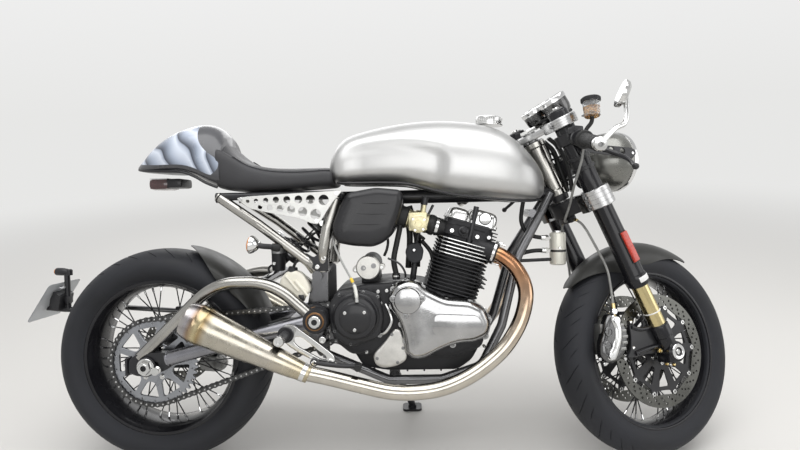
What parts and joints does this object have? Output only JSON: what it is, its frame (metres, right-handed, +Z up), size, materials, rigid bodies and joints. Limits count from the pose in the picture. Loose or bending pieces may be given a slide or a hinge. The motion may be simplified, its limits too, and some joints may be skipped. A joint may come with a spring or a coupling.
{
  "type": "cafe racer motorcycle",
  "caption": "Naked road motorcycle with low clip-on bars, bare metal tank, humped solo seat and wire wheels, parked leaning on its side stand.",
  "frame": {"origin": "middle of the parked motorcycle's bounding box, on the floor", "axes": "+X forward along the motorcycle, +Y to the rider's left (the side it leans to), +Z up"},
  "size_m": [2.2112, 0.7168, 1.0654],
  "materials": {
    "tyre_rubber": "matt black rubber with a worn tread band",
    "rim_black": "satin black powder coat, black spokes",
    "disc_steel": "ground stainless steel",
    "sprocket_alloy": "machined alloy",
    "chain_steel": "bright oiled steel",
    "frame_clear": "bare steel tube under clear coat",
    "frame_black": "satin black frame paint",
    "swingarm_steel": "bare steel under dark clear coat",
    "case_black": "satin black engine paint",
    "fins_black": "black paint with polished fin edges",
    "polished_alloy": "polished alloy",
    "raw_alloy": "cast and machined alloy",
    "exhaust_steel": "brushed stainless, tinted by heat",
    "tank_alloy": "brushed aluminium under satin lacquer",
    "seat_leather": "dark grey leather",
    "cowl_paint": null,
    "plate_alloy": "fine satin alloy plate",
    "cover_black": "satin black cover",
    "lamp_dark": "smoked lamp with chrome indicators",
    "carrier_black": "black plate carrier with a blank pale plate",
    "shock_black": "black spring and alloy body",
    "carbon_black": "dark satin laminate",
    "bottle_cream": "cream translucent plastic",
    "fork_black": "gloss black anodised tubes",
    "fork_lower": "bright sliders and grey castings",
    "caliper_grey": "grey anodised caliper",
    "lamp_grey": "metallic grey shell with a clear glass",
    "gauge_chrome": "chrome cups with dark dials",
    "bar_black": "black bars, grips and levers",
    "reservoir_clear": "clear pot with amber fluid and a black cap",
    "hose_rubber": "smooth black rubber hose",
    "cable_cover": "pale ribbed cable cover",
    "stand_steel": "black painted steel"
  },
  "bodies": {
    "chassis": {"head_tube": "frame_clear", "frame_spine": "frame_black", "frame_cradles": "frame_black", "rear_frame": "frame_clear", "swingarm": "swingarm_steel", "rear_axle": "polished_alloy", "crankcase": "case_black", "cylinder_block": "fins_black", "cylinder_head": "fins_black", "rocker_covers": "polished_alloy", "timing_cover": "polished_alloy", "clutch_cover": "case_black", "primary_cover": "case_black", "throttle_bodies": "raw_alloy", "airbox": "cover_black", "header_pipes": "exhaust_steel", "silencers": "exhaust_steel", "fuel_tank": "tank_alloy", "tank_cap": "polished_alloy", "seat": "seat_leather", "tail_cowl": "cowl_paint", "side_plates": "plate_alloy", "rear_lamps": "lamp_dark", "plate_carrier": "carrier_black", "shock": "shock_black", "rear_hugger": "carbon_black", "catch_bottle": "bottle_cream", "rearsets": "polished_alloy", "oil_canister": "raw_alloy", "engine_hoses": "hose_rubber", "clutch_cable": "cable_cover", "rear_caliper": "caliper_grey", "chain": "chain_steel", "stand_bracket": "stand_steel"},
    "steering": {"yokes": "polished_alloy", "lower_yoke": "polished_alloy", "brake_hoses": "hose_rubber", "fork_outers": "fork_black", "fork_lowers": "fork_lower", "front_axle": "polished_alloy", "front_calipers": "caliper_grey", "headlamp": "lamp_grey", "gauges": "gauge_chrome", "handlebars": "bar_black", "fluid_reservoir": "reservoir_clear", "mirrors": "polished_alloy", "front_fender": "carbon_black"},
    "front_wheel": {"front_tyre": "tyre_rubber", "front_wire_wheel": "rim_black", "front_discs": "disc_steel"},
    "rear_wheel": {"rear_tyre": "tyre_rubber", "rear_wire_wheel": "rim_black", "rear_disc": "disc_steel", "rear_sprocket": "sprocket_alloy"},
    "side_stand": {"side_stand": "stand_steel"}
  },
  "joints": [
    {"name": "steering", "type": "hinge", "parent": "chassis", "child": "steering", "pos_m": [0.55413, -0.00393, 0.8044], "axis": [-0.4104, 0.1622, 0.8973], "range_deg": [-50.8, 0]},
    {"name": "front_wheel_spin", "type": "hinge", "parent": "steering", "child": "front_wheel", "pos_m": [0.82289, -0.08221, 0.28849], "axis": [-0.3919, 0.8571, -0.3342], "continuous": true},
    {"name": "rear_wheel_spin", "type": "hinge", "parent": "chassis", "child": "rear_wheel", "pos_m": [-0.59399, -0.09378, 0.31396], "axis": [-0.0008, 0.984, -0.1783], "continuous": true},
    {"name": "side_stand_fold", "type": "hinge", "parent": "chassis", "child": "side_stand", "pos_m": [0.07745, 0.00898, 0.19357], "axis": [0.0014, 0.9561, 0.2932], "range_deg": [0, 107.9]}
  ]
}
